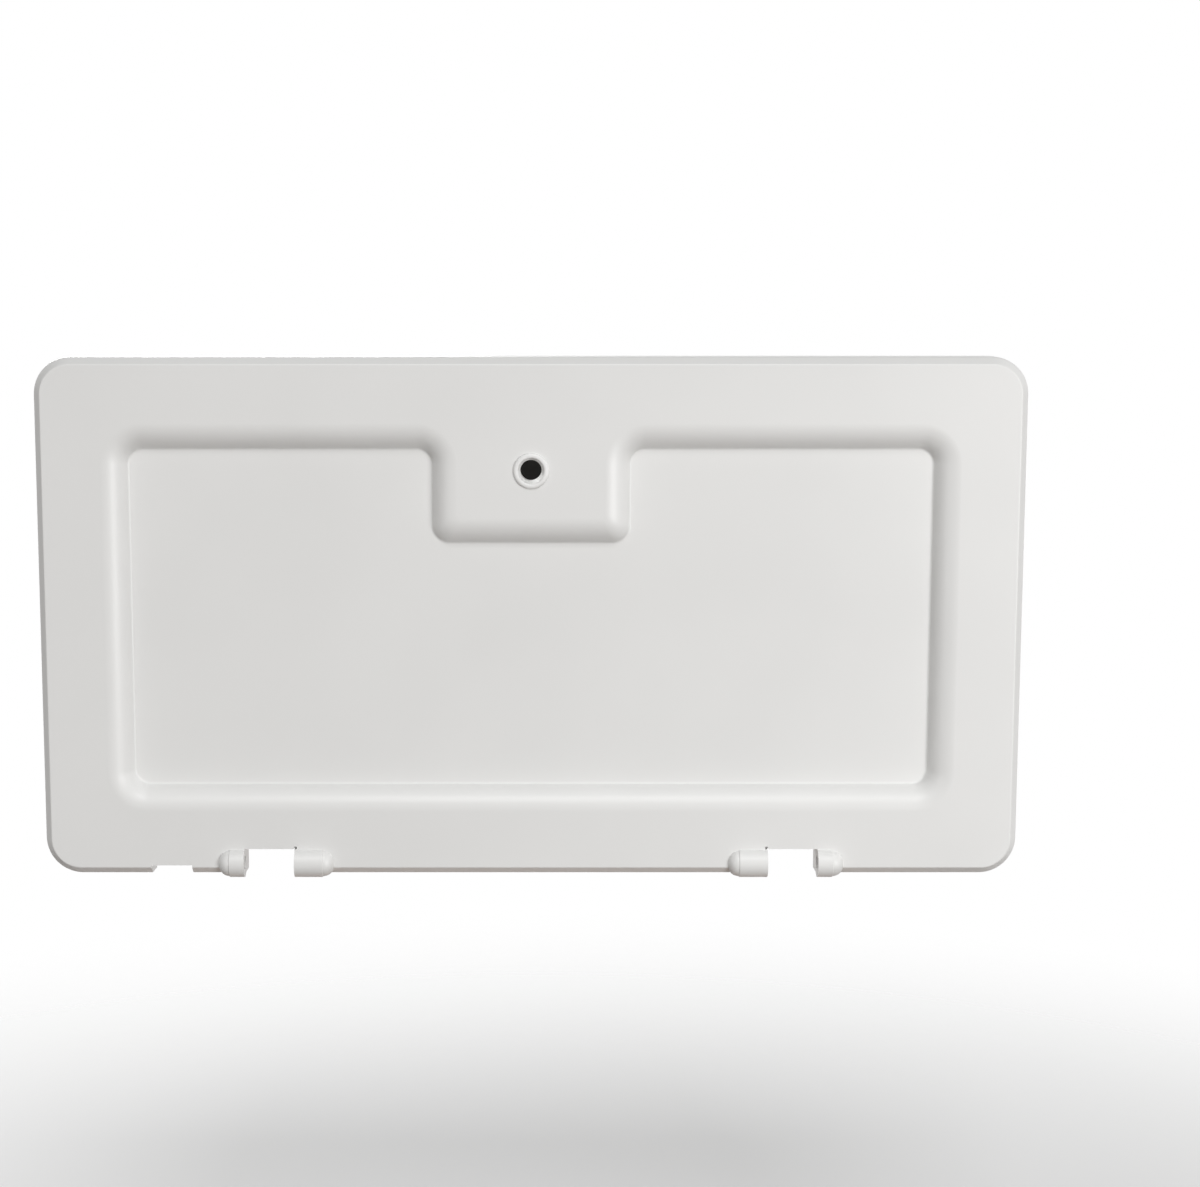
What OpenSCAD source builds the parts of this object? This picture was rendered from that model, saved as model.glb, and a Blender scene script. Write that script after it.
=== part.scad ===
// Door of a caravan battery box: a moulded white panel with a raised border,
// a recessed field, a lock tongue at the top and hinge knuckles below.
// Each piece is shaped lying flat, face up, with the lower edge along X,
// and upright() stands it with its face towards -Y.

/* [Door] */
// Overall width, measured across the rim
door_w = 396; // [360:1:430]
// Overall height, measured across the rim
door_h = 210; // [190:1:230]
// Depth from the rim to the raised face
door_t = 14; // [13:0.5:18]
// Thickness of the moulded wall
wall_t = 2.8; // [2.2:0.1:3.2]
// Radius of the four corners at the rim
corner_r = 15; // [13:0.5:22]
// Distance that the side wall leans in between the rim and the face
lean = 0.3; // [0.2:0.05:0.6]
// Radius along the edge between face and side wall
edge_r = 3.2; // [2.4:0.1:3.6]
// Radius inside that edge, seen from the back
inner_r = 0.8; // [0.4:0.1:1.2]

/* [Recess] */
// Width of the flat border round the recess, measured from the rim
border_w = 26.4; // [24:0.2:32]
// Depth of the field below the face
recess_d = 7; // [6:0.25:8]
// Steepness of the recess wall where it meets the field, in degrees
wall_a = 65; // [60:1:70]
// Radius in the crease round the field
root_r = 1.2; // [0.8:0.1:1.6]
// Corner radius of the field
field_r = 5.5; // [4:0.5:8]

/* [Lock tongue] */
// Width of the tongue where it meets the field
tongue_w = 80.8; // [70:0.2:96]
// Distance that the tongue reaches below the top of the field
tongue_drop = 37.7; // [34:0.1:50]
// Radius of the tongue's two lower corners at the field
tongue_r = 7; // [5:0.5:8]
// Distance from the door's top edge to the lock's centre
lock_down = 45.3; // [42:0.1:49]
// Bore of the lock bush
lock_bore_d = 8.6; // [7:0.2:10]
// Wall of the bush's sleeve
bush_wall = 1.4; // [1.2:0.1:2]
// Width of the bush's flange beyond its sleeve
flange_w = 1.5; // [1.3:0.1:2]
// Height of the flange above the face
flange_h = 1.2; // [0.8:0.1:1.4]
// Wall of the boss behind the lock
boss_wall = 3; // [2.4:0.2:4]
// Height of the boss behind the plate
boss_h = 8; // [6:0.5:9]
// Thickness of the boss's four gussets
gusset_t = 2; // [1.6:0.1:2.4]
// Reach of the gussets beyond the boss
gusset_w = 7; // [5:0.5:8]

/* [Hinge knuckles] */
// Distance of each hinge gap's centre from the door's centre
gap_x = 106.4; // [90:0.1:130]
// Width of each hinge gap
gap_w = 20.4; // [16:0.2:24]
// Height of each hinge gap above the lower edge
gap_h = 10.9; // [10:0.1:13]
// Diameter of the barrels
barrel_d = 11.8; // [11:0.1:13]
// Height of the barrels' axis above the lower edge
barrel_up = 4.9; // [4.5:0.1:6]
// Distance of the barrels' axis behind the face
barrel_back = 1.9; // [1:0.1:3]
// Straight length of the inner barrel of each pair
long_l = 11.6; // [9:0.1:16]
// Straight length of the outer barrel of each pair
short_l = 6.2; // [5:0.1:9]
// Length of a barrel's rounded end
dome_l = 4.4; // [3.5:0.1:5]
// Diameter of the hinge pin's hole
pin_d = 5.2; // [4:0.1:6]
// Depth of the pin hole in an inner barrel
pin_long = 10; // [8:0.5:12]
// Depth of the pin hole in an outer barrel
pin_short = 6.5; // [5:0.5:8]
// Width of the relief slot above each inner barrel
relief_w = 1.2; // [0.8:0.1:1.6]
// Height of the relief slot above the gap
relief_h = 1; // [0.6:0.1:1.4]

/* [Lead notch] */
// Distance of the notch's centre to the left of the door's centre
notch_x = 146.3; // [140:0.1:152]
// Width of the notch
notch_w = 16.6; // [12:0.2:20]
// Height of the notch
notch_h = 4.1; // [3:0.1:6]

/* [Back ribs] */
// Thickness of the ribs across the border
rib_t = 2; // [1.6:0.1:2.4]
// Distance between the ribs of the top border and of the sides
rib_pitch = 50; // [44:1:56]
// Gap between the ribs' lower edge and the rear face of the field
rib_gap = 1; // [0.6:0.1:2]

/* [Hidden] */
$fn = 96;
slope = sqrt(lean * lean + door_t * door_t) / door_t;
lean_a = atan(lean / door_t);
rim_w = wall_t * slope;
// Overlap between pieces of one skin, where both are flat
seam = 1;
rim_strip_w = ceil(10 * (lean + max(edge_r, wall_t + inner_r) * slope + seam)) / 10;
crest_r = recess_d / (1 - cos(wall_a)) - root_r;
wall_w = (crest_r + root_r) * sin(wall_a);
crease = border_w + wall_w;
field_left = -door_w / 2 + crease;
field_low = crease;
field_top = door_h - crease;
tongue_low = field_top - tongue_drop;
lock_y = door_h - lock_down;
hole_d = lock_bore_d + 2 * bush_wall;
mouth_r = bush_wall + flange_w - flange_h;
barrel_r = barrel_d / 2;
barrel_z = door_t - barrel_back;
plate_back = door_t - wall_t;
field_back = door_t - recess_d - wall_t;
knuckle_margin = 1;
white = [0.87, 0.87, 0.86];

// Stands a flat-lying shape upright, with the origin on the rear face of the
// lower rim, halfway through its thickness.
module upright() {
    translate([0, 0, -rim_w / 2])
        rotate([90, 0, 0])
            children();
}

// Slice of a disc between two directions.
module sector(centre, r, from, to) {
    reach = 2 * r;
    middle = (from + to) / 2;
    translate(centre)
        intersection() {
            circle(r);
            polygon([
                [0, 0],
                reach * [cos(from), sin(from)],
                reach * [cos(middle), sin(middle)] / cos((to - from) / 2),
                reach * [cos(to), sin(to)]
            ]);
        }
}

// Quarter of a disc, for the corner of a flat outline.
module quarter(centre, r, turn) {
    sector(centre, r, turn, turn + 90);
}

// Rectangle between two corners, with round corners.
module round_box(low, high, r) {
    polygon([
        [low.x + r, low.y], [high.x - r, low.y],
        [high.x, low.y + r], [high.x, high.y - r],
        [high.x - r, high.y], [low.x + r, high.y],
        [low.x, high.y - r], [low.x, low.y + r]
    ]);
    quarter([high.x - r, high.y - r], r, 0);
    quarter([low.x + r, high.y - r], r, 90);
    quarter([low.x + r, low.y + r], r, 180);
    quarter([high.x - r, low.y + r], r, 270);
}

// Outline of the recess, grown outwards from the edge of the field.
module recess_plan(grow) {
    r = field_r + grow;
    half = tongue_w / 2 - grow;
    bottom = tongue_low + grow;
    for (side = [0, 1])
        mirror([side, 0])
            round_box([field_left - grow, field_low - grow], [-half, field_top + grow], r);
    translate([-half - r, field_low - grow])
        square([2 * (half + r), bottom - field_low + grow]);
    if (tongue_r > grow)
        for (side = [0, 1])
            mirror([side, 0])
                difference() {
                    translate([-half, bottom])
                        square(tongue_r - grow);
                    translate([-half + tongue_r - grow, bottom + tongue_r - grow])
                        circle(tongue_r - grow);
                }
}

// Section of the rim's strip, with x measured inwards from the rim. It can
// run on over the border by a given amount.
module rim_profile(depth, low, over) {
    top = door_t - depth;
    r = depth > 0 ? inner_r : edge_r;
    centre = [lean * (top - r) / door_t + (depth + r) * slope, top - r];
    touch = centre + r * [-cos(lean_a), sin(lean_a)];
    polygon([
        [lean * low / door_t + depth * slope, low], touch,
        [centre.x, top], [rim_strip_w + over, top], [rim_strip_w + over, low]
    ]);
    sector(centre, r, 90, 180 - lean_a);
}

// Section of the recess wall, with x measured outwards from the field. It can
// run on over the field and the border by a given amount.
module wall_profile(depth, over) {
    crest = [wall_w, door_t - crest_r];
    root = [0, door_t - recess_d + root_r];
    join = root + (root_r + depth) * [sin(wall_a), -cos(wall_a)];
    top = door_t - depth;
    floor_z = top - recess_d;
    sector(crest, crest_r - depth, 90, 90 + wall_a);
    difference() {
        polygon(concat(
            [[-over, -over], [wall_w + over, -over]],
            over > 0 ? [[wall_w + over, top]] : [],
            [[wall_w, top], join, root],
            over > 0 ? [[0, floor_z]] : [],
            [[-over, floor_z]]
        ));
        translate(root)
            circle(root_r + depth);
    }
}

// Straight run of a section: it starts at a point, heads along a direction,
// and the section's x points to the left of that heading.
module run(start, heading, length) {
    translate(start)
        rotate(heading)
            rotate([90, 0, 90])
                linear_extrude(length)
                    children();
}

// Quarter turn of a section round a centre.
module turn(centre, heading) {
    translate(centre)
        rotate(heading)
            rotate_extrude(angle = 90)
                children();
}

// Strip along the rim, all the way round.
module rim_strip(depth, low, over) {
    half = door_w / 2;
    long = door_w - 2 * corner_r;
    tall = door_h - 2 * corner_r;
    run([-half + corner_r, 0], 0, long) rim_profile(depth, low, over);
    run([half, corner_r], 90, tall) rim_profile(depth, low, over);
    run([half - corner_r, door_h], 180, long) rim_profile(depth, low, over);
    run([-half, door_h - corner_r], 270, tall) rim_profile(depth, low, over);
    for (side = [0, 1])
        mirror([side, 0, 0])
            for (end = [0, 1])
                turn([half - corner_r, end ? door_h - corner_r : corner_r], end ? 0 : 270)
                    translate([corner_r, 0])
                        mirror([1, 0])
                            rim_profile(depth, low, over);
}

// Upright prism over an outline, well past the door's depth both ways.
module past_door() {
    translate([0, 0, -door_t])
        linear_extrude(3 * door_t)
            children();
}

// Section of the recess wall's skin.
module wall_section() {
    difference() {
        wall_profile(0, 0);
        wall_profile(wall_t, 1);
    }
}

// Wall round the recess, with the mitred walls of the tongue.
module recess_walls() {
    left = field_left + field_r;
    floor_y = field_low + field_r;
    ceiling = field_top - field_r;
    inner = -tongue_w / 2 - field_r;
    edge = -tongue_w / 2 - 2 * seam;
    tip = -tongue_w / 2 + tongue_r;
    tip_y = tongue_low + tongue_r;
    mitre = [-tongue_w / 2 + wall_w + 2 * seam, tongue_low + wall_w + 2 * seam];
    run([-left, field_low], 180, -2 * left) wall_section();
    for (side = [0, 1])
        mirror([side, 0, 0]) {
            run([field_left, floor_y], 90, ceiling - floor_y) wall_section();
            run([left, field_top], 0, inner - left) wall_section();
            turn([left, floor_y], 180)
                translate([field_r, 0]) wall_section();
            turn([left, ceiling], 90)
                translate([field_r, 0]) wall_section();
            turn([inner, ceiling], 0)
                translate([field_r, 0]) wall_section();
            intersection() {
                run([-tongue_w / 2, ceiling], 270, tongue_drop) wall_section();
                past_door()
                    polygon([
                        [edge, tip_y], [tip, tip_y], mitre,
                        [mitre.x, ceiling], [edge, ceiling]
                    ]);
            }
            turn([tip, tip_y], 180)
                intersection() {
                    translate([tongue_r, 0]) mirror([1, 0]) wall_section();
                    translate([0, -door_t]) square([2 * door_t, 3 * door_t]);
                }
        }
    intersection() {
        run([-tongue_w / 2, tongue_low], 0, tongue_w) wall_section();
        past_door()
            polygon([
                [tip, tongue_low - 2 * seam], [-tip, tongue_low - 2 * seam], [-tip, tip_y],
                [-mitre.x, mitre.y], mitre, [tip, tip_y]
            ]);
    }
}

// Places a shape at the left hinge gap's centre, or mirrored at the right one.
module at_gap(side) {
    mirror([side, 0, 0])
        translate([-gap_x, 0, 0])
            children();
}

// Length of door edge that one knuckle takes up, from its flat end.
function knuckle_reach(length) = length + dome_l + knuckle_margin;

// Barrel with its flat end on the plane x = 0 and its round end towards +X.
module barrel(length) {
    translate([0, barrel_up, barrel_z])
        rotate([0, 90, 0])
            rotate_extrude() {
                square([barrel_r, length]);
                square([barrel_r - dome_l, length + dome_l]);
                sector([barrel_r - dome_l, length], dome_l, 0, 90);
            }
}

// Lower edge of the door over a stretch of X, up to the top of the gaps.
module lower_edge(depth, low, length) {
    run([0, 0], 0, length) rim_profile(depth, low, 0);
    translate([0, rim_strip_w - seam, low])
        cube([length, gap_h - rim_strip_w + seam, door_t - depth - low]);
}

// Bays cut from the panel at the hinges, with the relief slots above them.
module hinge_bays() {
    inside = knuckle_reach(long_l);
    outside = knuckle_reach(short_l);
    for (side = [0, 1])
        at_gap(side) {
            translate([-gap_w / 2 - outside, -1, -1])
                cube([gap_w + inside + outside, gap_h + 1, door_t + 2]);
            translate([gap_w / 2, 0, plate_back])
                cube([relief_w, gap_h + relief_h, door_t]);
        }
}

// Notch in the lower edge.
module lead_notch() {
    translate([-notch_x - notch_w / 2, -1, -1])
        cube([notch_w, notch_h + 1, door_t + 2]);
}

// Flat plate of the border's height over an outline.
module face_plate() {
    translate([0, 0, plate_back])
        linear_extrude(wall_t)
            children();
}

// Block that parts the border from the lock tongue.
module tongue_block(grow) {
    translate([-tongue_w / 2, tongue_low, plate_back - grow])
        cube([tongue_w, door_h - border_w - tongue_low, wall_t + 2 * grow]);
}

// Side wall of the tray, with the rounded edge of the face.
module side_wall() {
    color(white)
        upright()
            difference() {
                rim_strip(0, 0, 0);
                rim_strip(wall_t, -1, 1);
                hinge_bays();
                lead_notch();
            }
}

// Outline inside the rounded edge.
module inside_rim() {
    inset = rim_strip_w;
    round_box([-door_w / 2 + inset, inset],
        [door_w / 2 - inset, door_h - inset], corner_r - inset);
}

// Flat raised border from the top of the hinge gaps up, round the recess.
module border() {
    color(white)
        upright()
            difference() {
                face_plate() inside_rim();
                past_door() recess_plan(wall_w);
                tongue_block(1);
                translate([-door_w, 0, 0])
                    cube([2 * door_w, gap_h, 2 * door_t]);
                hinge_bays();
            }
}

// Flat strips of the border below the top of the hinge gaps.
module lower_border() {
    color(white)
        upright()
            difference() {
                face_plate() inside_rim();
                translate([-door_w, gap_h, 0])
                    cube([2 * door_w, door_h, 2 * door_t]);
                hinge_bays();
                lead_notch();
            }
}

// Flat top of the tongue, with the lock's hole.
module lock_tongue() {
    color(white)
        upright()
            difference() {
                tongue_block(0);
                past_door()
                    recess_plan(wall_w);
                translate([0, lock_y, 0])
                    cylinder(h = door_t + 1, d = hole_d);
            }
}

// Curved wall between the border and the field.
module recess_wall() {
    color(white)
        upright()
            recess_walls();
}

// Flat field inside the recess.
module field_panel() {
    color(white)
        upright()
            translate([0, 0, field_back])
                linear_extrude(wall_t)
                    recess_plan(0);
}

// Bush that lines the lock's hole, with a round flange on the face.
module lock_bush() {
    bore_r = lock_bore_d / 2;
    sleeve_r = hole_d / 2;
    crest = bore_r + mouth_r;
    rear = plate_back - boss_h;
    top = door_t + flange_h;
    color([0.93, 0.93, 0.92])
        upright()
            translate([0, lock_y, 0])
                rotate_extrude()
                    difference() {
                        union() {
                            translate([bore_r, rear])
                                square([mouth_r, top - mouth_r - rear]);
                            translate([bore_r, rear])
                                square([bush_wall, door_t - mouth_r - rear]);
                            sector([crest, top - mouth_r], mouth_r, 90, 180);
                            sector([crest, door_t], flange_h, 0, 90);
                        }
                        translate([sleeve_r, rear - 1])
                            square([hole_d, door_t - rear + 1]);
                    }
}

// Boss behind the lock, with four gussets to the plate.
module lock_boss() {
    boss_r = hole_d / 2 + boss_wall;
    color(white)
        upright()
            translate([0, lock_y, plate_back - boss_h])
                difference() {
                    union() {
                        cylinder(h = boss_h, r = boss_r);
                        for (turn = [0, 90])
                            rotate(turn)
                                rotate([90, 0, 0])
                                    translate([0, 0, -gusset_t / 2])
                                        linear_extrude(gusset_t)
                                            polygon([
                                                [-boss_r, 1], [boss_r, 1],
                                                [boss_r + gusset_w, boss_h],
                                                [-boss_r - gusset_w, boss_h]
                                            ]);
                    }
                    translate([0, 0, -1])
                        cylinder(h = boss_h + 2, d = hole_d);
                }
}

// One hinge knuckle beside a gap: its stretch of the door's edge, the barrel
// with the blind hole for the hinge pin, and the cheek behind it.
module knuckle(side, inner) {
    length = inner ? long_l : short_l;
    hole = inner ? pin_long : pin_short;
    color([0.9, 0.9, 0.89])
        upright()
            at_gap(side)
                mirror([inner ? 0 : 1, 0, 0])
                    translate([gap_w / 2, 0, 0])
                        difference() {
                            union() {
                                difference() {
                                    lower_edge(0, 0, knuckle_reach(length));
                                    translate([wall_t, 0, 0])
                                        lower_edge(wall_t, -1, knuckle_reach(length));
                                }
                                barrel(length);
                            }
                            translate([-1, barrel_up, barrel_z])
                                rotate([0, 90, 0])
                                    cylinder(h = hole + 1, d = pin_d);
                        }
}

// Wall above one hinge gap, behind the plate, that ties its two cheeks.
module gap_wall(side) {
    color(white)
        upright()
            at_gap(side)
                translate([-gap_w / 2 - wall_t, gap_h, 0])
                    cube([gap_w + 2 * wall_t, wall_t, plate_back]);
}

// Points along an arc, from one direction to another.
function arc(centre, r, from, to, steps) =
    [for (i = [0:steps]) let (a = from + (to - from) * i / steps) centre + r * [cos(a), sin(a)]];

// Section of the hollow behind the border above a level, from the rim to the
// recess wall, with x measured inwards from the rim.
module channel_profile(level) {
    top = plate_back;
    bend = [lean * (top - inner_r) / door_t + (wall_t + inner_r) * slope, top - inner_r];
    crest = [border_w, door_t - crest_r];
    level_a = asin((level - crest.y) / (crest_r - wall_t));
    polygon(concat(
        [[lean * level / door_t + wall_t * slope, level]],
        arc(bend, inner_r, 180 - lean_a, 90, 4),
        arc(crest, crest_r - wall_t, 90, max(level_a, 90 - wall_a), 12)
    ));
}

// One rib across the border: it starts on the rim and heads along the edge.
module rib(start, heading) {
    run(start, heading, rib_t)
        channel_profile(field_back + rib_gap);
}

// Ribs of the top border, left out behind the tongue.
module top_ribs() {
    last = floor((door_w / 2 - crease) / rib_pitch);
    color(white)
        upright()
            for (i = [-last:last])
                if (abs(i) > 1)
                    rib([i * rib_pitch + rib_t / 2, door_h], 180);
}

// Ribs of the bottom border, spread between the two hinges.
module bottom_ribs() {
    spacing = (gap_x - gap_w / 2 - knuckle_reach(long_l)) / 3;
    color(white)
        upright()
            for (i = [-2:2])
                rib([i * spacing - rib_t / 2, 0], 0);
}

// Ribs of one side border.
module side_ribs(side) {
    color(white)
        upright()
            mirror([side, 0, 0])
                for (i = [-1:1])
                    rib([-door_w / 2, door_h / 2 + i * rib_pitch + rib_t / 2], 270);
}

side_wall();
border();
lower_border();
lock_tongue();
recess_wall();
field_panel();
lock_bush();
lock_boss();
knuckle(0, false);  // knuckle_left_outer
knuckle(0, true);  // knuckle_left_inner
knuckle(1, true);  // knuckle_right_inner
knuckle(1, false);  // knuckle_right_outer
gap_wall(0);  // gap_wall_left
gap_wall(1);  // gap_wall_right
top_ribs();
side_ribs(0);  // left_ribs
side_ribs(1);  // right_ribs
bottom_ribs();
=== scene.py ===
# %% [markdown]
# # A battery box door of white moulded plastic
#
# The door is one thin moulding: a flat border, a shallow field set back inside
# it, a tongue that carries the key hole, and hinge barrels along the lower
# edge. The solid model already has every size and place, so this script keeps
# to them. It builds a smoother skin over the same dimensions, gives it a satin
# finish and lights it softly from the right and from above.

import bmesh
import bpy
import numpy as np
from mathutils import Matrix, Vector


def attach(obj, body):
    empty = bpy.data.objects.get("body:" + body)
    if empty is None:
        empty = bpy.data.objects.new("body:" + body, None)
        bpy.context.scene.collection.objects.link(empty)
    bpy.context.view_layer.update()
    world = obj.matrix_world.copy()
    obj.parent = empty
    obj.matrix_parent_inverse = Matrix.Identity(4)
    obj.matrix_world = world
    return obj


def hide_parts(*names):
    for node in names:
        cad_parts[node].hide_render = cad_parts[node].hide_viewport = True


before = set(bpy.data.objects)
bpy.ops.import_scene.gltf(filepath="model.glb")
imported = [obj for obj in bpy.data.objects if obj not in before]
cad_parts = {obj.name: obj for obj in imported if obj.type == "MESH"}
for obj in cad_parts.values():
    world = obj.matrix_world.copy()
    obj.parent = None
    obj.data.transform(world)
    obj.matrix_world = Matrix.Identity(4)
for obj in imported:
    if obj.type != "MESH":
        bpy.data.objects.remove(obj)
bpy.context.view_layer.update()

# %% [markdown]
# ## The sizes that the skin follows
#
# All sizes are in millimetres, with the door lying flat and face up: x runs
# along the hinges, y from the hinges to the lock, and z out of the face. The
# rim's width and the radius of the recess wall's crest follow from the others,
# as they do on a drawing.

# %% Sizes of the moulding
DOOR_W, DOOR_H, DOOR_T = 396.0, 210.0, 14.0
WALL = 2.8
CORNER_R = 15.0
LEAN = 0.3  # how far the side wall leans in on its way up
EDGE_W = 3.6  # from the foot of the side wall in to where the face starts
BEVEL = 52  # slope of the edge against the face, in degrees
BEND_R, CROWN_R = 2.5, 0.9  # from the side wall to the bevel, and from there to the face
INNER_R = 0.8  # the same edge inside
BORDER_W = 26.4
RECESS_D = 7.0
RECESS_ANGLE = np.radians(65)
ROOT_R = 1.2
FIELD_R = 5.5
TONGUE_W, TONGUE_DROP = 80.8, 37.7
TONGUE_R, TIP_R = 7.0, 1.8  # the tongue's corners, at the field and at the border
SHOULDER = 1.0  # straight piece on each side of those corners

LEAN_DEG = np.degrees(np.arctan(LEAN / DOOR_T))
SLOPE = np.hypot(LEAN, DOOR_T) / DOOR_T
RIM_W = WALL * SLOPE
PLATE_BACK = DOOR_T - WALL
CREST_R = RECESS_D / (1 - np.cos(RECESS_ANGLE)) - ROOT_R
RECESS_WALL_W = (CREST_R + ROOT_R) * np.sin(RECESS_ANGLE)
FIELD_LOW = BORDER_W + RECESS_WALL_W
FIELD_SIDE = DOOR_W / 2 - FIELD_LOW
FIELD_TOP = DOOR_H - FIELD_LOW
TONGUE_LOW = FIELD_TOP - TONGUE_DROP
print(f"field {2 * FIELD_SIDE:.1f} x {FIELD_TOP - FIELD_LOW:.1f} mm, crest radius {CREST_R:.2f} mm")

# %% [markdown]
# ## From arrays to meshes
#
# Every piece starts as an array of points, worked out lying flat. One helper
# makes the mesh, merges points that coincide, such as those at a pole, turns
# all faces outwards, and only then stands the mesh upright, in metres, where
# the solid model has it. Filling and merging work better on numbers the size
# of millimetres than on metres with many zeros.

# %% Helpers for meshes
MERGE = 0.002  # points nearer to each other than this become one

# x stays, z comes to point forwards (-Y), and y becomes the height above the
# middle of the lower rim
FLAT_TO_UPRIGHT = Matrix(((1, 0, 0, 0), (0, 0, -1, 0), (0, 1, 0, -RIM_W / 2), (0, 0, 0, 1)))
STAND = Matrix.Scale(0.001, 4) @ FLAT_TO_UPRIGHT


def solid(name, points, faces, fills=()):
    """Closed mesh object from points, faces and flat fills.

    Each fill is a list of point loops: one outline, and a hole in it if there is one.
    """
    mesh = bpy.data.meshes.new(name)
    mesh.from_pydata(np.asarray(points, float), [], [list(map(int, face)) for face in faces])
    work = bmesh.new()
    work.from_mesh(mesh)
    work.verts.ensure_lookup_table()
    for loops in fills:
        edges = []
        for loop in loops:
            for a, b in zip(loop, np.roll(loop, -1)):
                pair = (work.verts[int(a)], work.verts[int(b)])
                edges.append(work.edges.get(pair) or work.edges.new(pair))
        bmesh.ops.triangle_fill(work, edges=edges, use_beauty=True)
    bmesh.ops.remove_doubles(work, verts=work.verts, dist=MERGE)
    bmesh.ops.recalc_face_normals(work, faces=work.faces)
    bmesh.ops.transform(work, matrix=STAND, verts=work.verts)
    work.to_mesh(mesh)
    work.free()
    obj = bpy.data.objects.new(name, mesh)
    bpy.context.scene.collection.objects.link(obj)
    return obj


def grid_faces(rows, columns, closed_rows=False):
    """Quads of a grid whose columns close on themselves.

    Each joins point (i, j), its neighbour along the row, and the same two on the next row.
    """
    starts = np.arange(rows if closed_rows else rows - 1)
    i, j = np.meshgrid(starts, np.arange(columns), indexing="ij")
    i2, j2 = (i + 1) % rows, (j + 1) % columns
    quads = [i * columns + j, i * columns + j2, i2 * columns + j2, i2 * columns + j]
    return np.stack(quads, axis=-1).reshape(-1, 4)


def block(name, low, high):
    """Box between two corners."""
    low, high = np.array(low, float), np.array(high, float)
    square = np.array([[0, 0], [1, 0], [1, 1], [0, 1]])
    points = np.concatenate([np.c_[square, np.zeros(4)], np.c_[square, np.ones(4)]])
    faces = [[3, 2, 1, 0], [4, 5, 6, 7], *grid_faces(2, 4)]
    return solid(name, low + points * (high - low), faces)


def turned(name, profile, centre, along, steps, closed=False):
    """Turned piece: a profile of radii and distances, carried round an axis.

    The axis starts at centre and runs along x, y or z. A point is the centre, plus its
    distance along the axis, plus its radius times the cosine and the sine of the angle
    in the two directions across.
    """
    along = np.array(along, float)
    across = np.roll(along, 1)
    third = np.cross(along, across)
    angle = np.linspace(0, 2 * np.pi, steps, endpoint=False)[None, :, None]
    radius, reach = np.array(profile, float).T[:, :, None, None]
    points = centre + reach * along + radius * (np.cos(angle) * across + np.sin(angle) * third)
    return solid(name, points.reshape(-1, 3), grid_faces(len(profile), steps, closed))


def arc(centre, radius, start, end, steps):
    """Points on a circle, from one direction to another in degrees."""
    angle = np.radians(np.linspace(start, end, steps + 1))
    return np.array(centre) + radius * np.stack([np.cos(angle), np.sin(angle)], axis=-1)


# %% [markdown]
# ## The skin
#
# A moulded tray has the same wall everywhere, so its front and its back are
# the same surface at two depths. Both are stacks of closed outlines. The outer
# stack climbs the side wall and goes over the edge, in front by way of a steep
# bevel. The inner stack rolls down from the border into the recess, first
# round a wide crest and then round a tight root. The flats between the stacks
# are filled at the end.

# %% Outlines seen from above
CORNER_STEPS = 18


def directions(starts, sweep):
    """Unit vectors that turn from each start angle through the sweep, in degrees."""
    angle = np.radians(np.array(starts, float)[:, None] + np.linspace(0, sweep, CORNER_STEPS + 1))
    return np.stack([np.cos(angle), np.sin(angle)], axis=-1)


def rim_outlines(insets):
    """Rectangles with round corners, each drawn in from the door's outline by an inset.

    A corner's point is its centre, plus its radius less the inset along a turning direction.
    """
    side, top = DOOR_W / 2 - CORNER_R, DOOR_H - CORNER_R
    centres = np.array([[-side, CORNER_R], [side, CORNER_R], [side, top], [-side, top]])
    radius = (CORNER_R - np.asarray(insets, float))[:, None, None, None]
    points = centres[:, None] + radius * directions([180, 270, 0, 90], 90)
    return points.reshape(len(insets), -1, 2)


def recess_outlines(grows):
    """Outlines of the recess, grown outwards from the field's edge.

    The field's own corners keep their centres and gain radius. The tongue's two corners
    lose radius more slowly than the outline grows, so their centres also slide along the
    diagonal, by the difference.
    """
    grow = np.asarray(grows, float)[:, None, None, None]
    side, low, top = FIELD_SIDE - FIELD_R, FIELD_LOW + FIELD_R, FIELD_TOP - FIELD_R
    neck = TONGUE_W / 2 + FIELD_R
    centres = np.array([
        [-side, low], [side, low], [side, top], [neck, top], [-neck, top], [-side, top],
    ])
    field = centres[:, None] + (FIELD_R + grow) * directions([180, 270, 0, 90, 0, 90], 90)
    right_tip = np.array([[TONGUE_W / 2 - TONGUE_R, TONGUE_LOW + TONGUE_R]])
    left_tip = right_tip * [-1, 1]
    up_left = np.array([[-1, 1]])
    radius = TONGUE_R - grow * (TONGUE_R - TIP_R) / RECESS_WALL_W
    slide = radius + grow - TONGUE_R
    right_corner = right_tip[:, None] + radius * directions([0], -90) + slide * up_left[:, None]
    left_corner = left_tip[:, None] + radius * directions([-90], -90) + slide
    pieces = [
        field[:, :4].reshape(len(grows), -1, 2),
        right_corner[:, 0, :1] + [0, SHOULDER],
        right_corner[:, 0],
        right_corner[:, 0, -1:] + [-SHOULDER, 0],
        left_corner[:, 0, :1] + [SHOULDER, 0],
        left_corner[:, 0],
        left_corner[:, 0, -1:] + [0, SHOULDER],
        field[:, 4:].reshape(len(grows), -1, 2),
    ]
    return np.concatenate(pieces, axis=1)


# %% Sections through the wall


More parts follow.
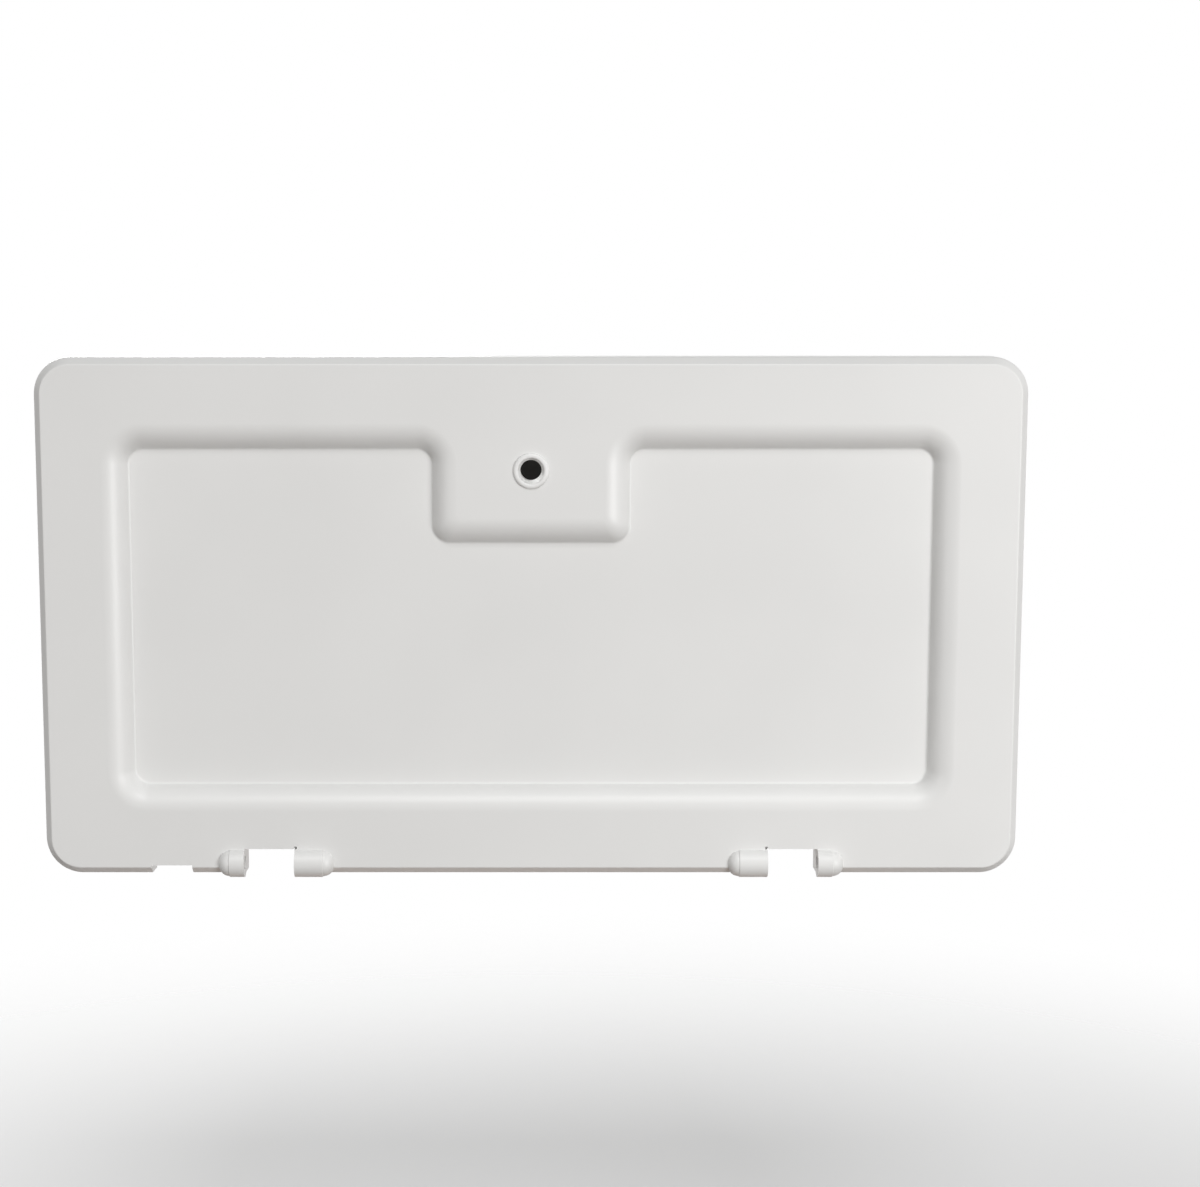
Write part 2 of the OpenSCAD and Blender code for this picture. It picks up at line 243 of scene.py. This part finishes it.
def rim_section():
    """Outer side wall and edge, as (inset, height).

    The wall leans a little, bends onto a steep bevel, and a small arc leads from there to
    the face. The bend's centre lies its own radius inside both the wall's line and the
    bevel's, which gives two equations for its place.
    """
    wall_faces, bevel_faces = 180 - LEAN_DEG, 90 + BEVEL
    crown = arc([EDGE_W, DOOR_T - CROWN_R], CROWN_R, bevel_faces, 90, steps=8)
    wall_out, bevel_out = arc([0, 0], 1, wall_faces, bevel_faces, steps=1)
    centre = np.linalg.solve([wall_out, bevel_out], [-BEND_R, bevel_out @ crown[0] - BEND_R])
    bend = arc(centre, BEND_R, wall_faces, bevel_faces, steps=6)
    return np.concatenate([[[0, 0]], bend, crown])


def hollow_section():
    """Inner side wall and edge, one wall thickness in and down, as (inset, height).

    A line with the same lean as outside, then an arc that ends level.
    """
    level = PLATE_BACK - INNER_R
    centre = [LEAN * level / DOOR_T + (WALL + INNER_R) * SLOPE, level]
    return np.concatenate([[[RIM_W, 0]], arc(centre, INNER_R, 180 - LEAN_DEG, 90, steps=16)])


def recess_section(depth):
    """Recess wall at a depth below the face, as (grow, height).

    The crest's arc comes down from the border, and the root's arc goes on into the field.
    """
    slope = np.degrees(RECESS_ANGLE)
    crest_centre = [RECESS_WALL_W, DOOR_T - CREST_R]
    root_centre = [0, DOOR_T - RECESS_D + ROOT_R]
    crest = arc(crest_centre, CREST_R - depth, 90, 90 + slope, steps=16)
    root = arc(root_centre, ROOT_R + depth, slope - 90, -90, steps=10)
    return np.concatenate([crest, root[1:]])


def skin():
    """The whole tray: two stacks and two flats in front, the same behind, and the flat rim."""
    points, faces, fills, rims = [], [], [], []
    count = 0
    for depth, rim_side in ((0, rim_section()), (WALL, hollow_section())):
        ends = []
        recess_side = recess_section(depth)
        for section, outlines in ((rim_side, rim_outlines), (recess_side, recess_outlines)):
            plan = outlines(section[:, 0])
            height = np.broadcast_to(section[:, 1, None, None], plan.shape[:2] + (1,))
            points.append(np.concatenate([plan, height], axis=-1).reshape(-1, 3))
            faces.append(grid_faces(*plan.shape[:2]) + count)
            loops = np.arange(plan.shape[0] * plan.shape[1]).reshape(plan.shape[:2]) + count
            ends += [loops[0], loops[-1]]
            count += loops.size
        foot, edge, crest, root = ends
        fills += [[edge, crest], [root]]
        rims.append(foot)
    outer, inner = rims
    rim = np.stack([inner, outer, np.roll(outer, -1), np.roll(inner, -1)], axis=-1)
    return solid("door_skin", np.concatenate(points), np.concatenate([*faces, rim]), fills)


door = skin()
print("skin:", len(door.data.vertices), "points,", len(door.data.polygons), "faces")

# %% [markdown]
# ## Knuckles, gaps and holes
#
# Each hinge gap has a barrel on either side, with a flat end towards the gap
# and a rounded far end. A cheek behind the face closes the tray there. All of
# these are united with the skin, a little too long, and then one straight cut
# for each gap trims them flush, as one side of a mould would. The pin holes,
# the slots beside the inner barrels, the notch and the key hole are cut with
# the gaps. Where two cuts meet they overlap a little, because two cuts that
# only touch leave a seam behind.

# %% Sizes of the hinges, the notch and the lock
GAP_X, GAP_W, GAP_H = 106.4, 20.4, 10.9
BARREL_R, BARREL_Y, BARREL_Z = 5.9, 4.9, DOOR_T - 1.9
DOME, DOME_STEP = 4.4, 0.35  # a barrel's rounded end, and the lip at which it starts
LONG_BARREL, SHORT_BARREL = 11.6, 6.2
PIN_R, LONG_PIN, SHORT_PIN = 2.6, 10.0, 6.5
SLOT_W, SLOT_H, INTO_GAP = 0.9, 1.0, 0.15
NOTCH_X, NOTCH_W, NOTCH_H = -146.3, 16.6, 4.1
LOCK_Y, LOCK_BORE_R, BUSH_WALL = DOOR_H - 45.3, 4.3, 1.4
HOLE_R = LOCK_BORE_R + BUSH_WALL
LAP = 1.0  # how far a piece runs into the skin, or past the cut that trims it
UNDER, BEHIND, ABOVE, WELL_ABOVE = -5.0, -1.0, 20.0, 25.0  # ends of the cuts, clear of the door
BARREL_STEPS, PIN_STEPS, LOCK_STEPS = 72, 48, 96

# %% Shapes to add and to cut
added, cut = [], []
for side in (-1, 1):
    inner, outer = side * (GAP_X - GAP_W / 2), side * (GAP_X + GAP_W / 2)
    for edge, away, length, pin in (
        (inner, -side, LONG_BARREL, LONG_PIN),
        (outer, side, SHORT_BARREL, SHORT_PIN),
    ):
        lip = arc([BARREL_R - DOME_STEP, length - DOME_STEP], DOME_STEP, 0, 90, steps=4)
        dome = arc([BARREL_R - DOME_STEP - DOME, length], DOME, 0, 90, steps=12)
        flat_end, tip = [[0, -LAP], [BARREL_R, -LAP]], [[0, length + DOME]]
        profile = np.concatenate([flat_end, lip, dome[1:], tip])
        pin_hole = [[0, -2 * LAP], [PIN_R, -2 * LAP], [PIN_R, pin], [0, pin]]
        axis, along = [edge, BARREL_Y, BARREL_Z], [away, 0, 0]
        added.append(turned("barrel", profile, axis, along, BARREL_STEPS))
        cut.append(turned("pin_hole", pin_hole, axis, along, PIN_STEPS))
        low, high = sorted([edge - away * LAP, edge + away * WALL])
        added.append(block("cheek", [low, RIM_W / 2, 0], [high, GAP_H + LAP, DOOR_T - LAP]))
    low, high = sorted([inner, outer])
    gap_wall = [low - WALL, GAP_H - LAP, 0], [high + WALL, GAP_H + WALL, DOOR_T - LAP]
    added.append(block("gap_wall", *gap_wall))
    cut.append(block("gap", [low, UNDER, BEHIND], [high, GAP_H, WELL_ABOVE]))
    low, high = sorted([inner + side * INTO_GAP, inner - side * SLOT_W])
    cut.append(block("slot", [low, GAP_H - INTO_GAP, PLATE_BACK], [high, GAP_H + SLOT_H, ABOVE]))
low, high = NOTCH_X - NOTCH_W / 2, NOTCH_X + NOTCH_W / 2
cut.append(block("notch", [low, UNDER, BEHIND], [high, NOTCH_H, ABOVE]))
key_hole = [[0, BEHIND], [HOLE_R, BEHIND], [HOLE_R, ABOVE], [0, ABOVE]]
cut.append(turned("key_hole", key_hole, [0, LOCK_Y, 0], [0, 0, 1], LOCK_STEPS))
print(len(added), "shapes to add,", len(cut), "to cut")


def join_and_cut(base, adds, cuts):
    """One mesh from the base, with solids united and then others taken away.

    The helpers are removed.
    """
    groups = []
    for operation, tools in (("UNION", adds), ("DIFFERENCE", cuts)):
        group = bpy.data.collections.new(operation)
        groups.append(group)
        for tool in tools:
            group.objects.link(tool)
        step = base.modifiers.new(operation, "BOOLEAN")
        step.operation, step.solver = operation, "EXACT"
        step.operand_type, step.collection = "COLLECTION", group
    evaluated = base.evaluated_get(bpy.context.evaluated_depsgraph_get())
    finished = bpy.data.meshes.new_from_object(evaluated)
    base.modifiers.clear()
    base.data = finished
    for tool in adds + cuts:
        bpy.data.objects.remove(tool)
    for group in groups:
        bpy.data.collections.remove(group)
    return base


door = join_and_cut(door, added, cut)
door.name = door.data.name = "door_moulding"
print("moulding:", len(door.data.vertices), "points,", len(door.data.polygons), "faces")

# %% [markdown]
# ## Even shading
#
# The skin is curved in narrow strips and flat elsewhere. Smooth shading alone
# would bend the light across the flats, so corners sharper than 18 degrees
# stay sharp, and each normal follows the largest face at its point.

# %% Shade the moulding
SHARP = np.radians(18)


def shade(obj):
    """Smooth shading that keeps real corners, with normals weighted by the area of the faces."""
    obj.data.polygons.foreach_set("use_smooth", np.ones(len(obj.data.polygons), bool))
    obj.data.set_sharp_from_angle(angle=SHARP)
    weighted = obj.modifiers.new("even_normals", "WEIGHTED_NORMAL")
    weighted.mode, weighted.weight, weighted.keep_sharp = "FACE_AREA", 100, True


shade(door)
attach(door, "root")
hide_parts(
    "side_wall", "border", "lower_border", "lock_tongue", "recess_wall", "field_panel",
    "knuckle_left_outer", "knuckle_left_inner", "knuckle_right_inner", "knuckle_right_outer",
    "gap_wall_left", "gap_wall_right",
)

# %% [markdown]
# ## The key hole's bush
#
# A bush lines the key hole. Seen from the front it is a white ring: a narrow
# round flange, then a steep mouth that leads the key in and takes the light
# on one side only. It is a turned shape, so one section carried round the
# axis gives all of it. The boss behind it and the ribs are shown as they are
# in the solid model.

# %% Turn the bush
BOSS_H = 8.0
FLANGE_W, FLANGE_H = 1.5, 1.2
CREST_W, MOUTH_R = 0.2, 0.7  # flat strip on top of the ring, and the curve that leads in from it
MOUTH_FACES = 160  # direction in which the mouth faces, in degrees
THROAT_R, THROAT_D = 0.6, 2.4  # the curve from the mouth to the bore, and its depth

bush_rear = PLATE_BACK - BOSS_H
crest_r = HOLE_R + FLANGE_W - FLANGE_H
bush_section = np.concatenate([
    [[LOCK_BORE_R, bush_rear], [HOLE_R, bush_rear], [HOLE_R, DOOR_T]],
    arc([crest_r, DOOR_T], FLANGE_H, 0, 90, steps=12),
    arc([crest_r - CREST_W, DOOR_T + FLANGE_H - MOUTH_R], MOUTH_R, 90, MOUTH_FACES, steps=8),
    arc([LOCK_BORE_R + THROAT_R, DOOR_T - THROAT_D], THROAT_R, MOUTH_FACES, 180, steps=3),
])
bush = turned("key_hole_bush", bush_section, [0, LOCK_Y, 0], [0, 0, 1], LOCK_STEPS, closed=True)
shade(bush)
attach(bush, "root")
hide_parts("lock_bush")
print("bush:", len(bush.data.polygons), "faces")

# %% [markdown]
# ## Satin plastic
#
# White moulded plastic looks even, but never quite so: its tone drifts a
# little over a hand's width, and its surface has a very fine grain. Both come
# from noise on the piece's own coordinates, kept faint, so that the colour
# still reads as plain white. Two finishes share the effect, so it is a node
# group with the tone and the strength of the drift as inputs.

# %% The drift and grain of moulded plastic
DRIFT_SCALE, GRAIN_SCALE = 14, 1800
NOISE_RANGE = {"From Min": 0.3, "From Max": 0.7}
ROUGHNESS_RANGE = {"To Min": 0.36, "To Max": 0.42}
GRAIN_DEPTH = 0.00002


def put(node, values):
    """The node, with values on the inputs that are named."""
    for name, value in values.items():
        node.inputs[name].default_value = value
    return node


def moulded_surface():
    """Node group that gives a colour, a roughness and a height.

    The colour is the tone, darker by the drift where wide noise is low. The roughness
    rises a little with the same noise, and the height is fine noise.
    """
    group = bpy.data.node_groups.new("moulded_surface", "ShaderNodeTree")
    for name, direction, kind in (
        ("Tone", "INPUT", "NodeSocketColor"),
        ("Drift", "INPUT", "NodeSocketFloat"),
        ("Color", "OUTPUT", "NodeSocketColor"),
        ("Roughness", "OUTPUT", "NodeSocketFloat"),
        ("Height", "OUTPUT", "NodeSocketFloat"),
    ):
        group.interface.new_socket(name, in_out=direction, socket_type=kind)
    make, link = group.nodes.new, group.links.new
    inputs, outputs = make("NodeGroupInput"), make("NodeGroupOutput")
    place = make("ShaderNodeTexCoord")
    wide = put(make("ShaderNodeTexNoise"), {"Scale": DRIFT_SCALE, "Detail": 2})
    fine = put(make("ShaderNodeTexNoise"), {"Scale": GRAIN_SCALE, "Detail": 1})
    for noise in (wide, fine):
        link(place.outputs["Object"], noise.inputs["Vector"])
    fade = put(make("ShaderNodeMapRange"), NOISE_RANGE | {"To Max": 1})
    rough = put(make("ShaderNodeMapRange"), NOISE_RANGE | ROUGHNESS_RANGE)
    for ramp in (fade, rough):
        link(wide.outputs["Fac"], ramp.inputs["Value"])
    keep, shaded = make("ShaderNodeMath"), make("ShaderNodeVectorMath")
    keep.operation, shaded.operation = "SUBTRACT", "SCALE"
    keep.inputs[0].default_value = 1
    link(inputs.outputs["Drift"], keep.inputs[1])
    link(keep.outputs["Value"], fade.inputs["To Min"])
    link(inputs.outputs["Tone"], shaded.inputs["Vector"])
    link(fade.outputs["Result"], shaded.inputs["Scale"])
    link(shaded.outputs["Vector"], outputs.inputs["Color"])
    link(rough.outputs["Result"], outputs.inputs["Roughness"])
    link(fine.outputs["Fac"], outputs.inputs["Height"])
    return group


surface = moulded_surface()


def plastic(name, tone, drift, grain):
    """Plastic finish: the shared surface feeds colour, roughness and a very low bump."""
    material = bpy.data.materials.new(name)
    material.use_nodes = True
    nodes, link = material.node_tree.nodes, material.node_tree.links.new
    shader = put(nodes["Principled BSDF"], {"IOR": 1.49})
    look = nodes.new("ShaderNodeGroup")
    look.node_tree = surface
    put(look, {"Tone": (*tone, 1), "Drift": drift})
    bump = put(nodes.new("ShaderNodeBump"), {"Strength": grain, "Distance": GRAIN_DEPTH})
    link(look.outputs["Color"], shader.inputs["Base Color"])
    link(look.outputs["Roughness"], shader.inputs["Roughness"])
    link(look.outputs["Height"], bump.inputs["Height"])
    link(bump.outputs["Normal"], shader.inputs["Normal"])
    return material


moulding = plastic("satin_moulding", tone=(0.80, 0.80, 0.79), drift=0.03, grain=0.25)
glossier = plastic("bush_plastic", tone=(0.84, 0.84, 0.83), drift=0.01, grain=0.05)
for piece, finish in ((door, moulding), (bush, glossier)):
    piece.data.materials.clear()
    piece.data.materials.append(finish)
for name in ("lock_boss", "top_ribs", "left_ribs", "right_ribs", "bottom_ribs"):
    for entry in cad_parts[name].material_slots:
        entry.material = moulding
print("finishes:", moulding.name, glossier.name)

# %% [markdown]
# ## Floor, dark card and background
#
# The photograph shows the bare door against plain white. A pale floor lies a
# quarter of a metre below the door and keeps its shadow, and a little of both
# shows at the foot of the picture. The floor fades out towards its edges and
# shows only from above. It looks pale to the camera but sends little light
# back up, so the walls that face down stay dark, as they are in the
# photograph. The key hole looks dark because it leads into an unlit box, and a
# small black card behind the hole stands for that. It shows only from in front
# and stops no light, so that the door's back stays clear.

# %% Stage
SQUARE = ((-1, -1), (1, -1), (1, 1), (-1, 1))
FLOOR_HALF, FLOOR_Z, FLOOR_FADE = 1.0, -0.25, (0.4, 0.9)  # metres
CARD_HALF, CARD_Z = 12.0, -1.0  # millimetres, as the door lies flat
CARD_FADE = (1.0, 2.0)  # metres, so that the card doesn't fade
DULL = 0.9


def flat(name, corners, material):
    """One flat face between corners in metres, for the stage."""
    mesh = bpy.data.meshes.new(name)
    mesh.from_pydata(corners, [], [list(range(len(corners)))])
    mesh.materials.append(material)
    obj = bpy.data.objects.new(name, mesh)
    bpy.context.scene.collection.objects.link(obj)
    return obj


def straight_rays(nodes, link):
    """Output that tells rays that go straight from the light that surfaces scatter.

    It is 1 for rays from the camera, from a shiny surface or through glass, and else 0.
    """
    path = nodes.new("ShaderNodeLightPath")
    total = path.outputs["Is Camera Ray"]
    for kind in ("Is Glossy Ray", "Is Transmission Ray"):
        larger = nodes.new("ShaderNodeMath")
        larger.operation = "MAXIMUM"
        link(total, larger.inputs[0])
        link(path.outputs[kind], larger.inputs[1])
        total = larger.outputs["Value"]
    return total


def mix(nodes, link, factor, first, second):
    """Shader that is the first where the factor is 0 and the second where it is 1."""
    blend = nodes.new("ShaderNodeMixShader")
    link(factor, blend.inputs["Fac"])
    link(first.outputs[0], blend.inputs[1])
    link(second.outputs[0], blend.inputs[2])
    return blend


def clear_where(nodes, link, shader, fade):
    """The shader, but clear from behind and clear far from the piece's origin.

    It starts to clear at the fade's first distance and has cleared at the second.
    """
    clear, side = nodes.new("ShaderNodeBsdfTransparent"), nodes.new("ShaderNodeNewGeometry")
    place, far = nodes.new("ShaderNodeTexCoord"), nodes.new("ShaderNodeVectorMath")
    fading, hidden = nodes.new("ShaderNodeMapRange"), nodes.new("ShaderNodeMath")
    far.operation, hidden.operation = "LENGTH", "MAXIMUM"
    fading.interpolation_type = "SMOOTHSTEP"
    put(fading, {"From Min": fade[0], "From Max": fade[1]})
    link(place.outputs["Object"], far.inputs[0])
    link(far.outputs["Value"], fading.inputs["Value"])
    link(fading.outputs["Result"], hidden.inputs[0])
    link(side.outputs["Backfacing"], hidden.inputs[1])
    return mix(nodes, link, hidden.outputs["Value"], shader, clear)


def stage_material(name, tone, kind, scatter_tone, fade):
    """Dull finish for straight rays, with another kind of shader for scattered light."""
    material = bpy.data.materials.new(name)
    material.use_nodes = True
    nodes, link = material.node_tree.nodes, material.node_tree.links.new
    seen = put(nodes["Principled BSDF"], {"Base Color": (*tone, 1), "Roughness": DULL})
    scattered = put(nodes.new(kind), {"Color": (*scatter_tone, 1)})
    blend = mix(nodes, link, straight_rays(nodes, link), scattered, seen)
    blend = clear_where(nodes, link, blend, fade)
    link(blend.outputs["Shader"], nodes["Material Output"].inputs["Surface"])
    return material


pale = stage_material(
    "pale_floor", (0.85, 0.85, 0.85), "ShaderNodeBsdfDiffuse", (0.13, 0.105, 0.09), FLOOR_FADE)
dark = stage_material(
    "unlit_inside", (0.014, 0.013, 0.012), "ShaderNodeBsdfTransparent", (1, 1, 1), CARD_FADE)
floor = flat("floor", [(FLOOR_HALF * x, FLOOR_HALF * y, FLOOR_Z) for x, y in SQUARE], pale)
card_corners = [Vector((CARD_HALF * x, LOCK_Y + CARD_HALF * y, CARD_Z)) for x, y in SQUARE]
card = flat("dark_card", [STAND @ corner for corner in card_corners], dark)
print("stage:", floor.name, card.name)

# %% [markdown]
# ## Light
#
# Three soft lamps stand in front of the door. The one to the right makes the
# right border brightest and leaves the tongue's left wall in shade. The one
# above lights the walls that face up and leaves those that face down dark. The
# weak one on the left keeps that side from falling off. A faint brown glow
# from below stands for the table, whose colour shows on the lower edge. A lamp
# behind lights the back and doesn't reach the front. The world gives a low
# fill, brown from below. Rays that reach the camera straight, by a mirror or
# through glass see it as white, which is the photograph's background.

# %% Lamps and world
DOOR_MIDDLE = Vector((0, 0, 0.1))
FILL = 0.24
BROWN_BELOW, WHITE_ABOVE = -0.5, 0.3


def lamp(name, place, size, watts, tint=(1, 1, 1)):
    """Soft lamp of a width and a height that faces the door's middle, itself unseen."""
    data = bpy.data.lights.new(name, "AREA")
    data.shape, data.energy, data.color = "RECTANGLE", watts, tint
    data.size, data.size_y = size
    obj = bpy.data.objects.new(name, data)
    obj.location, obj.visible_camera = place, False
    obj.rotation_euler = (DOOR_MIDDLE - obj.location).to_track_quat("-Z", "Y").to_euler()
    bpy.context.scene.collection.objects.link(obj)
    return obj


lamps = [
    lamp("right_lamp", (0.95, -1.2, 0.1), (0.6, 0.6), 11.5),
    lamp("top_lamp", (0.2, -2.9, 2.9), (1.4, 1.4), 54.0),
    lamp("left_lamp", (-1.05, -1.25, 0.15), (0.6, 0.6), 3.0),
    lamp("table_glow", (0, 0.06, -0.22), (0.4, 0.1), 0.06, (1, 0.62, 0.42)),
    lamp("back_lamp", (-0.5, 1.5, 0.8), (0.8, 0.8), 16.0),
]

world = bpy.data.worlds.new("white_room")
world.use_nodes = True
nodes, link = world.node_tree.nodes, world.node_tree.links.new
fill = put(nodes["Background"], {"Strength": FILL})
white = put(nodes.new("ShaderNodeBackground"), {"Color": (1, 1, 1, 1), "Strength": 1})
where, split = nodes.new("ShaderNodeTexCoord"), nodes.new("ShaderNodeSeparateXYZ")
rise, tint = nodes.new("ShaderNodeMapRange"), nodes.new("ShaderNodeValToRGB")
put(rise, {"From Min": BROWN_BELOW, "From Max": WHITE_ABOVE})
tint.color_ramp.elements[0].color = (0.40, 0.31, 0.25, 1)
tint.color_ramp.elements[1].color = (0.99, 0.99, 0.98, 1)
link(where.outputs["Generated"], split.inputs["Vector"])
link(split.outputs["Z"], rise.inputs["Value"])
link(rise.outputs["Result"], tint.inputs["Fac"])
link(tint.outputs["Color"], fill.inputs["Color"])
choose = mix(nodes, link, straight_rays(nodes, link), fill, white)
link(choose.outputs["Shader"], nodes["World Output"].inputs["Surface"])
bpy.context.scene.world = world
bpy.context.scene.view_settings.view_transform = "Standard"
print([(item.name, round(item.data.energy, 2)) for item in lamps], "W, fill", FILL)

# %% [markdown]
# ## Camera
#
# The edges that show, a strip of the top and none of the underside of the
# border, put the camera a little above the door and about 0.9 m away. The
# picture is 1200 pixels wide and the door's centre sits left of and below the
# middle, which a small lens shift gives without turning the camera.

# %% Camera
IMAGE_W, IMAGE_H = 1200, 1187
SENSOR_W = 36
FOCAL_PX = 2237
CENTRE_PX = (531.0, 619.0)
DISTANCE, TILT = 0.9, np.radians(7.6)
TARGET_Z = 11.5  # in the door's thickness, between the border and the field
target = STAND @ Vector((0, DOOR_H / 2, TARGET_Z))
camera_data = bpy.data.cameras.new("camera")
camera_data.sensor_width = SENSOR_W
camera_data.lens = SENSOR_W * FOCAL_PX / IMAGE_W
camera_data.shift_x = (IMAGE_W / 2 - CENTRE_PX[0]) / IMAGE_W
camera_data.shift_y = (CENTRE_PX[1] - IMAGE_H / 2) / IMAGE_W
camera = bpy.data.objects.new("camera", camera_data)
camera.location = target + DISTANCE * Vector((0, -np.cos(TILT), np.sin(TILT)))
camera.rotation_euler = (target - camera.location).to_track_quat("-Z", "Y").to_euler()
bpy.context.scene.collection.objects.link(camera)
bpy.context.scene.camera = camera
print("camera at", np.round(camera.location, 3), "lens", round(camera_data.lens, 1), "mm")

# %% Update the scene
bpy.context.view_layer.update()
